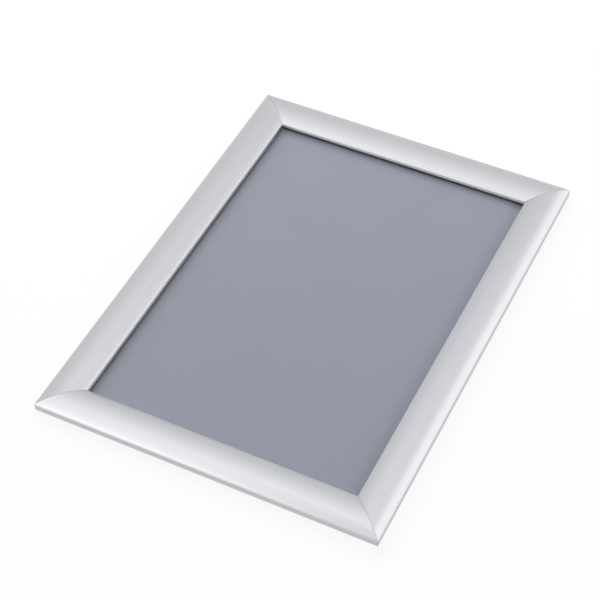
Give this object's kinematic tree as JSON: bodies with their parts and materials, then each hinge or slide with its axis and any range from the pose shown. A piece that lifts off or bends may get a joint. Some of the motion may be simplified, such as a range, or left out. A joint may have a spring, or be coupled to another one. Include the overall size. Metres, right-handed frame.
{
  "type": "snap frame",
  "caption": "Flat aluminium poster frame with mitred domed cover rails that hinge open along their outer edges to change the poster.",
  "frame": {"origin": "middle of the back, on the plane of the base rails' back faces", "axes": "+X to the right and +Y to the top of a portrait picture, +Z out of the picture; the frame lies on its back"},
  "size_m": [0.24, 0.327, 0.0091],
  "materials": {
    "anodised_aluminium": "satin silver anodised extrusion",
    "spring_steel": "bare rolled strip",
    "zinc_plated_steel": "zinc plated",
    "black_steel": "blackened",
    "grey_styrene": "matt grey sheet",
    "clear_matt_plastic": "clear anti-glare sheet"
  },
  "bodies": {
    "base": {"base_rail_bottom": "anodised_aluminium", "base_rail_right": "anodised_aluminium", "base_rail_top": "anodised_aluminium", "base_rail_left": "anodised_aluminium", "leaf_spring_bottom_1": "spring_steel", "leaf_spring_bottom_2": "spring_steel", "leaf_spring_right_1": "spring_steel", "leaf_spring_right_2": "spring_steel", "leaf_spring_top_1": "spring_steel", "leaf_spring_top_2": "spring_steel", "leaf_spring_left_1": "spring_steel", "leaf_spring_left_2": "spring_steel", "corner_key_bottom_left": "zinc_plated_steel", "corner_key_bottom_right": "zinc_plated_steel", "corner_key_top_right": "zinc_plated_steel", "corner_key_top_left": "zinc_plated_steel", "key_screw_bottom_left_1": "black_steel", "key_screw_bottom_left_2": "black_steel", "key_screw_bottom_right_1": "black_steel", "key_screw_bottom_right_2": "black_steel", "key_screw_top_right_1": "black_steel", "key_screw_top_right_2": "black_steel", "key_screw_top_left_1": "black_steel", "key_screw_top_left_2": "black_steel", "back_panel": "grey_styrene", "clear_sheet": "clear_matt_plastic"},
    "cover_bottom": {"cover_rail_bottom": "anodised_aluminium"},
    "cover_right": {"cover_rail_right": "anodised_aluminium"},
    "cover_top": {"cover_rail_top": "anodised_aluminium"},
    "cover_left": {"cover_rail_left": "anodised_aluminium"}
  },
  "joints": [
    {"name": "cover_bottom_hinge", "type": "hinge", "parent": "base", "child": "cover_bottom", "pos_m": [0, -0.1622, 0.00355], "axis": [1, 0, 0], "range_deg": [0, 95], "deforming": ["leaf_spring_bottom_1", "leaf_spring_bottom_2"]},
    {"name": "cover_right_hinge", "type": "hinge", "parent": "base", "child": "cover_right", "pos_m": [0.1187, 0, 0.00355], "axis": [0, 1, 0], "range_deg": [0, 95], "deforming": ["leaf_spring_right_1", "leaf_spring_right_2"]},
    {"name": "cover_top_hinge", "type": "hinge", "parent": "base", "child": "cover_top", "pos_m": [0, 0.1622, 0.00355], "axis": [-1, 0, 0], "range_deg": [0, 95], "deforming": ["leaf_spring_top_1", "leaf_spring_top_2"]},
    {"name": "cover_left_hinge", "type": "hinge", "parent": "base", "child": "cover_left", "pos_m": [-0.1187, 0, 0.00355], "axis": [0, -1, 0], "range_deg": [0, 95], "deforming": ["leaf_spring_left_1", "leaf_spring_left_2"]}
  ]
}
